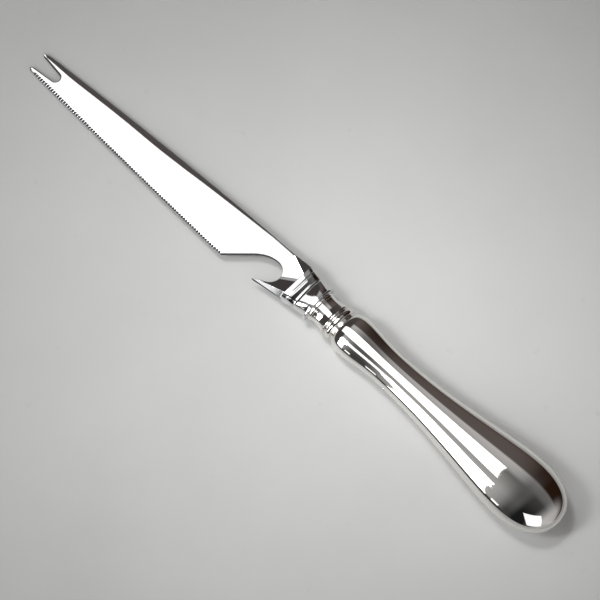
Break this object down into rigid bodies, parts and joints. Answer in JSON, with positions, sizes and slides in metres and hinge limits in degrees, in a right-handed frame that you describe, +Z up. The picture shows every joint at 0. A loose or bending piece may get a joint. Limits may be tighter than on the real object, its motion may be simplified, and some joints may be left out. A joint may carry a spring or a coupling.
{
  "type": "bar knife",
  "caption": "Bar knife lying flat: serrated steel blade with a forked tip and a bottle-opener hook, ridged bolster, ringed ferrule and smooth hollow silver handle swelling to a round butt.",
  "frame": {"origin": "on the table, under the middle of the knife's length and width", "axes": "+X from the fork towards the butt, +Y towards the spine of the blade, +Z up from the table"},
  "size_m": [0.2412, 0.0244, 0.0143],
  "materials": {
    "blade_steel": "polished",
    "bolster_steel": "polished",
    "handle_silver": "polished",
    "solder": "satin",
    "cement": "matte"
  },
  "bodies": {
    "root": {"blade": "blade_steel", "bolster": "bolster_steel", "collar_plate": "bolster_steel", "neck_ferrule": "handle_silver", "handle_shell_upper": "handle_silver", "handle_shell_lower": "handle_silver", "seam_solder": "solder", "cement_filling": "cement"}
  },
  "joints": []
}
